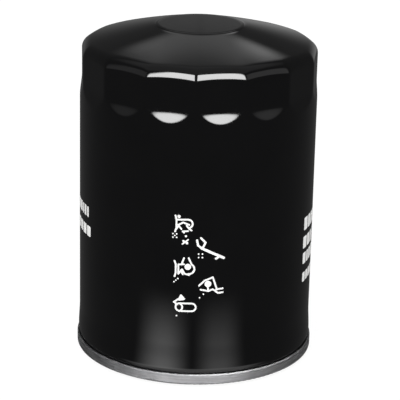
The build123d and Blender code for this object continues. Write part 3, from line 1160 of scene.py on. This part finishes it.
# Each patch: side it is measured from, azimuths, elevations, brightness, soft edges in degrees
reflections = [
    ("front", (-180, 180), (-90, 90), 0.07, (0.1, 0.1), (0.1, 0.1)),
    ("front", (-180, 180), (50, 91), 0.2, (0.1, 0.1), (6, 0.1)),
    ("back", (-4, 4), (8, 12.9), 0.13, (1.5, 1.5), (2, 1.2)),
    ("back", (-42, 42), (-9, 8), 0.08, (8, 8), (2, 12)),
    ("back", (2, 42), (-9, 8), 0.16, (3, 8), (2, 12)),
    ("back", (-11.5, 11), (32, 44), 0.45, (3, 3), (3.5, 6)),
    ("back", (-13, -10), (30, 37), 0.28, (2, 3), (3, 5)),
    ("back", (9.5, 14), (30.5, 37), 0.9, (2.5, 2), (3, 5)),
    ("front", (-34, -12), (1.5, 47), 17.0, (2, 2.5), (1.5, 1.5)),
    ("front", (9, 33), (1.5, 47), 17.0, (2.5, 2.5), (1.5, 1.5)),
    ("front", (45, 85), (-1, 35), 0.5, (6, 6), (3, 4)),
    ("front", (-85, -45), (-1, 35), 0.28, (6, 6), (3, 4)),
    ("front", (-70, 70), (-80, -28), 0.9, (15, 15), (10, 2)),
]
# Light patches on the table in front of the can: first and last direction, brightness, soft edge
table_patches = [(-44, -14, 2.1, 14), (10, 39, 1.1, 12)]
# Distances from the wall where that light starts and ends, and how softly
table_reach = (10, 58, 6, 48)
soft_daylight = 0.55
backdrop_white = 1.0


def make_world():
    """White to the camera, even for soft light, and patchy in reflections."""
    world = bpy.data.worlds.new("studio")
    scene.world = world
    sky = Sky(world)
    total = 0.0
    for patch in reflections:
        total = sky.math("ADD", sky.patch(*patch), total)
    even, glossy, plain = [
        sky.node("Background", {"Color": white, "Strength": strength}).outputs[0]
        for strength in (soft_daylight, total, backdrop_white)
    ]
    ray = sky.node("LightPath").outputs
    lit = sky.node("MixShader", {0: ray["Is Glossy Ray"], 1: even, 2: glossy}).outputs[0]
    seen = sky.node("MixShader", {0: ray["Is Camera Ray"], 1: lit, 2: plain}).outputs[0]
    sky.node("OutputWorld", {"Surface": seen})


def soft_box(name, place, size, power):
    """A large area light, in metres, that brightens matt surfaces without showing in the gloss."""
    target = Vector((0, 0, 0.06))
    data = bpy.data.lights.new(name, "AREA")
    data.shape = "RECTANGLE"
    data.size, data.size_y = size
    data.energy = power
    box = add_object(name, data)
    box.location = place
    aim = target - Vector(place)
    box.rotation_euler = aim.to_track_quat("-Z", "Y").to_euler()
    box.visible_glossy = False
    box.visible_camera = False


def stage_square(name, reach, shader, surface):
    """A level square through the origin that isn't part of the object."""
    mesh = bpy.data.meshes.new(name)
    corners = [(-reach, -reach, 0), (reach, -reach, 0), (reach, reach, 0), (-reach, reach, 0)]
    mesh.from_pydata(corners, [], [(0, 1, 2, 3)])
    shader.feed(shader.tree.nodes["Material Output"].inputs["Surface"], surface.outputs[0])
    mesh.materials.append(shader.material)
    square = add_object(name, mesh)
    square.visible_diffuse = False
    square.visible_shadow = False
    return square


def make_floor():
    """Pale floor that shows a faint contact shadow and can't be seen from below."""
    clear_gap = 0.05
    pale = Shader("pale_floor")
    speck = pale.noise(400, 2)
    matt = pale.node("BsdfDiffuse", {"Color": pale.blend(speck, (0.10, 0.10, 0.10), (0.12, 0.12, 0.12))})
    glow = pale.node("Emission", {"Color": white, "Strength": 0.92})
    both = pale.node("AddShader", {0: matt.outputs[0], 1: glow.outputs[0]})
    clear = pale.node("BsdfTransparent")
    under = pale.node("NewGeometry").outputs["Backfacing"]
    seen = pale.node("MixShader", {0: under, 1: both.outputs[0], 2: clear.outputs[0]})
    floor = stage_square("floor", 6.0, pale, seen)
    floor.location.z = (low("base_gasket").z - clear_gap) * mm
    floor.visible_glossy = False


def make_table_glow():
    """Light patches on the table in front of the can, seen only as reflections low on its wall."""
    glow = Shader("table_glow")
    x, y, z = glow.node("SeparateXYZ", {0: glow.place()}).outputs
    ahead = glow.math("SUBTRACT", -wall_radius / 2 * mm, y)
    turn = glow.math("DEGREES", glow.math("ARCTAN2", x, ahead))
    away = glow.math("SUBTRACT", glow.from_axis(x, y), wall_radius * mm)
    total = 0.0
    for first, last, level, soft in table_patches:
        across = glow.between(turn, first, last, soft, soft)
        total = glow.math("ADD", glow.math("MULTIPLY", across, level), total)
    fade = glow.between(away, *[length * mm for length in table_reach])
    strength = glow.math("MULTIPLY", total, fade)
    shine = glow.node("Emission", {"Color": white, "Strength": strength})
    both = glow.node("AddShader", {0: shine.outputs[0], 1: glow.node("BsdfTransparent").outputs[0]})
    table = stage_square("table_glow", 0.5, glow, both)
    table.visible_camera = False
    table.visible_transmission = False


def make_camera():
    """Camera a little above the can, looking slightly down at its printed front."""
    pitch = radians(18.55)
    yaw = radians(0.12)
    roll = radians(1.25)
    height = 297.3
    distance = 703.1
    data = bpy.data.cameras.new("camera")
    data.sensor_width = 36
    data.lens = 165.0
    camera = add_object("camera", data)
    forward = Vector((sin(yaw) * cos(pitch), cos(yaw) * cos(pitch), -sin(pitch)))
    right = forward.cross(Vector((0, 0, 1))).normalized()
    up = right.cross(forward)
    tilted_right = right * cos(roll) + up * sin(roll)
    tilted_up = up * cos(roll) - right * sin(roll)
    turn = Matrix((tilted_right, tilted_up, -forward)).transposed().to_4x4()
    camera.matrix_world = Matrix.Translation(Vector((0, -distance, height)) * mm) @ turn
    data.clip_start = 0.01
    data.clip_end = 20
    scene.camera = camera


dress_cad_nodes()
make_can()
make_print()
make_base_plate()
make_springs()
make_flap()
make_paper()
make_world()
soft_box("key", (-0.7, -1.0, 0.9), (0.8, 0.8), 16)
soft_box("fill", (0.9, -0.9, 0.5), (0.8, 0.8), 9)
soft_box("back", (0.1, 1.1, 0.8), (0.9, 0.6), 6)
make_floor()
make_table_glow()
make_camera()
scene.view_settings.view_transform = "Standard"
